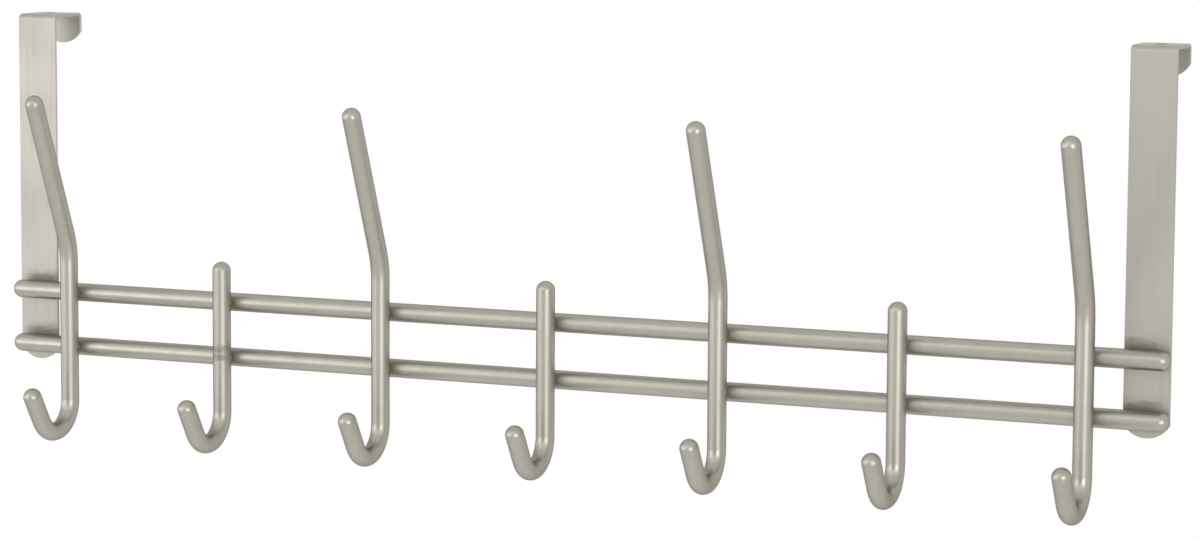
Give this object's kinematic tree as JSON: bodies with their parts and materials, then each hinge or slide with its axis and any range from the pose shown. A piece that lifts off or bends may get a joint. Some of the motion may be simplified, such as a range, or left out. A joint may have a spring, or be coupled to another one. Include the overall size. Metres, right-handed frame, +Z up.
{
  "type": "over door hook",
  "caption": "Over door coat hook rail: bent round rod hooks, long and short in turn, welded across two round rails on folded strip brackets that hang on a door's top edge.",
  "frame": {"origin": "on the plane of the door's top edge, under the brackets' tops, midway between the two screw holes and midway through the door gap", "axes": "+X along the rails to the right as seen from the room, +Y through the door away from the room, +Z up"},
  "size_m": [0.531, 0.0697, 0.1882],
  "materials": {
    "satin_nickel_rod": "satin nickel plated steel rod",
    "satin_nickel_strip": "satin nickel plated steel strip, finely brushed"
  },
  "bodies": {
    "root": {"rail_upper": "satin_nickel_rod", "rail_lower": "satin_nickel_rod", "bracket_left": "satin_nickel_strip", "bracket_right": "satin_nickel_strip", "hook_long_1": "satin_nickel_rod", "hook_short_1": "satin_nickel_rod", "hook_long_2": "satin_nickel_rod", "hook_short_2": "satin_nickel_rod", "hook_long_3": "satin_nickel_rod", "hook_short_3": "satin_nickel_rod", "hook_long_4": "satin_nickel_rod"}
  },
  "joints": []
}
